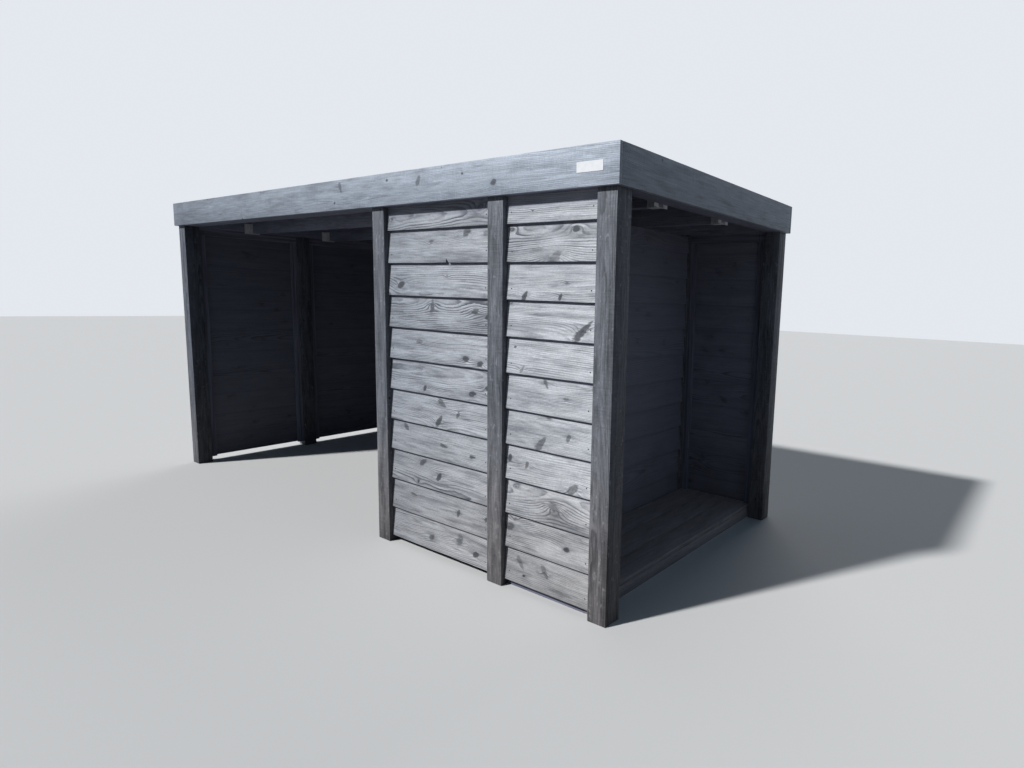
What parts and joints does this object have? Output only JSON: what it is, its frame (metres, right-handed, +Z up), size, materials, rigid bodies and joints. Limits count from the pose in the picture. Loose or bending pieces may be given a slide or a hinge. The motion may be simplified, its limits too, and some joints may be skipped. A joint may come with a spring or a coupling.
{
  "type": "bike shelter",
  "caption": "Flat-roofed timber bike shelter: an open bay, lapped board walls between square posts, and a narrow end store with a low floor, open at the side.",
  "frame": {"origin": "on the ground, at the middle of the plan of the roof edge", "axes": "+Z up, +X to the right along the front, +Y towards the back"},
  "size_m": [4.324, 1.915, 2.083],
  "materials": {
    "cladding": "black-stained sawn softwood, weathered to grey, strong grain",
    "posts": "black-stained planed softwood",
    "roof_edge": "black-stained sawn softwood, weathered to grey",
    "framing": "black-stained sawn softwood",
    "deck": "dark roof boards",
    "floor": "black-stained floor boards",
    "roof_sheet": "matt black roofing sheet",
    "zinc_steel": "galvanised",
    "plate": "satin white, blank"
  },
  "bodies": {
    "root": {"front_left_post": "posts", "front_bay_post": "posts", "front_middle_post": "posts", "front_right_post": "posts", "rear_left_post": "posts", "rear_bay_post": "posts", "rear_middle_post": "posts", "rear_right_post": "posts", "left_wall_post": "posts", "rear_wall_post": "posts", "partition_post": "posts", "front_beam": "framing", "rear_beam": "framing", "left_beam": "framing", "right_beam": "framing", "front_purlin": "framing", "rear_purlin": "framing", "front_wall_battens": "framing", "rear_wall_battens": "framing", "left_wall_battens": "framing", "partition_battens": "framing", "purlin_hangers": "zinc_steel", "roof_deck": "deck", "roof_covering": "roof_sheet", "front_fascia": "roof_edge", "rear_fascia": "roof_edge", "left_fascia": "roof_edge", "right_fascia": "roof_edge", "blank_plate": "plate", "front_wide_panel": "cladding", "front_narrow_panel": "cladding", "rear_bay_left_panel": "cladding", "rear_bay_right_panel": "cladding", "rear_wide_panel": "cladding", "rear_narrow_panel": "cladding", "left_wall_front_panel": "cladding", "left_wall_rear_panel": "cladding", "partition_front_panel": "cladding", "partition_rear_panel": "cladding", "store_floor": "floor", "store_floor_bearers": "framing", "store_floor_edge": "floor"}
  },
  "joints": []
}
